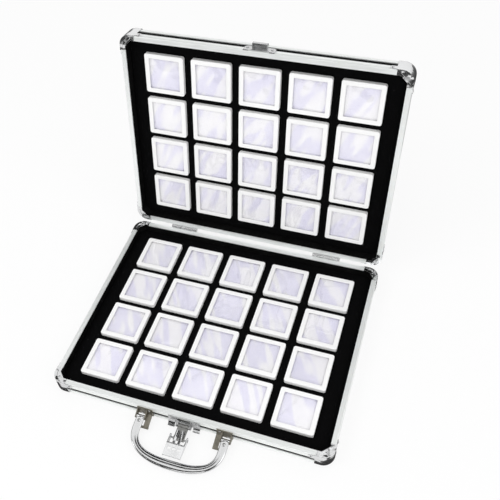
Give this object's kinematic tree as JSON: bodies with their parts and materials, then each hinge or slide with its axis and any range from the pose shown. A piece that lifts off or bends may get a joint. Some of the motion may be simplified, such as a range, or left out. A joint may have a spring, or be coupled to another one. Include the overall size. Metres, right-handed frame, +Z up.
{
  "type": "mineral specimen box",
  "caption": "Flat aluminium-framed case, open on rear hinges, with black foam in base and lid holding small white square boxes with clear windows, a folding handle and a toggle latch.",
  "frame": {"origin": "the middle of the base's outline, at the height of the four corner caps' feet that it rests on, 2 mm below the bottom panel", "axes": "+Z up, -Y towards the handle and the latch, +X to the right as seen from the handle"},
  "size_m": [0.3466, 0.4039, 0.2973],
  "materials": {
    "foam": "matt black foam with fine open cells",
    "panel": "black faced board",
    "wall_board": "black faced board",
    "profile": "satin anodised, drawn along its length",
    "corner_cap": "bright plated pressing",
    "rivet": "bright plated",
    "hinge": "bright plated",
    "handle": "bright plated",
    "latch_plate": "bright plated pressing",
    "link": "dull steel",
    "pin": "plated steel",
    "box_plastic": "smooth white moulding",
    "window": "clear sheet",
    "pad": "pale soft pad"
  },
  "bodies": {
    "case_base": {"base_floor": "panel", "base_walls": "wall_board", "base_rim": "profile", "base_edge": "profile", "base_corners": "corner_cap", "base_corner_rivets": "rivet", "base_foam": "foam", "hinge_base_leaves": "hinge", "hinge_pins": "hinge", "hinge_base_rivets": "rivet", "handle_brackets": "latch_plate", "handle_bracket_rivets": "rivet", "handle_pins": "pin", "latch_plate": "latch_plate", "latch_plate_rivets": "rivet", "latch_plate_pin": "pin", "base_box_trays": "box_plastic", "base_box_pads": "pad", "base_box_caps": "box_plastic", "base_box_windows": "window"},
    "lid": {"lid_panel": "panel", "lid_walls": "wall_board", "lid_rim": "profile", "lid_edge": "profile", "lid_corners": "corner_cap", "lid_corner_rivets": "rivet", "lid_foam": "foam", "hinge_lid_leaves": "hinge", "hinge_lid_rivets": "rivet", "catch_plate": "latch_plate", "catch_rivets": "rivet", "lid_box_trays": "box_plastic", "lid_box_pads": "pad", "lid_box_caps": "box_plastic", "lid_box_windows": "window"},
    "handle": {"handle_bail": "handle", "handle_rivets": "rivet"},
    "latch_link": {"latch_link": "link"},
    "latch_lever": {"latch_lever": "latch_plate", "latch_lever_pin": "pin"},
    "loose_base_box": {"loose_base_tray": "box_plastic", "loose_base_pad": "pad"},
    "loose_base_box_cap": {"loose_base_cap": "box_plastic", "loose_base_window": "window"},
    "loose_lid_box": {"loose_lid_tray": "box_plastic", "loose_lid_pad": "pad"},
    "loose_lid_box_cap": {"loose_lid_cap": "box_plastic", "loose_lid_window": "window"}
  },
  "joints": [
    {"name": "lid_hinge", "type": "hinge", "parent": "case_base", "child": "lid", "pos_m": [0, 0.1378, 0.0226], "axis": [-1, 0, 0], "range_deg": [-100.6, 0]},
    {"name": "handle_swing", "type": "hinge", "parent": "case_base", "child": "handle", "pos_m": [0, -0.143, 0.01], "axis": [-1, 0, 0], "range_deg": [0, 97]},
    {"name": "latch_link_swing", "type": "hinge", "parent": "case_base", "child": "latch_link", "pos_m": [0, -0.1396, 0.0085], "axis": [1, 0, 0], "range_deg": [-90, 0]},
    {"name": "latch_lever_swing", "type": "hinge", "parent": "latch_link", "child": "latch_lever", "pos_m": [0, -0.1556, 0.0085], "axis": [1, 0, 0], "range_deg": [0, 180]},
    {"name": "base_box_lift", "type": "slide", "parent": "case_base", "child": "loose_base_box", "axis": [0, 0, 1], "range_m": [0, 0.04]},
    {"name": "base_box_cap_lift", "type": "slide", "parent": "loose_base_box", "child": "loose_base_box_cap", "axis": [0, 0, 1], "range_m": [0, 0.02]},
    {"name": "lid_box_lift", "type": "slide", "parent": "lid", "child": "loose_lid_box", "axis": [0, -0.9829, 0.184], "range_m": [0, 0.04]},
    {"name": "lid_box_cap_lift", "type": "slide", "parent": "loose_lid_box", "child": "loose_lid_box_cap", "axis": [0, -0.9829, 0.184], "range_m": [0, 0.02]}
  ],
  "couplings": [
    {"joint": "latch_lever_swing", "follows": "latch_link_swing", "ratio": -2}
  ]
}
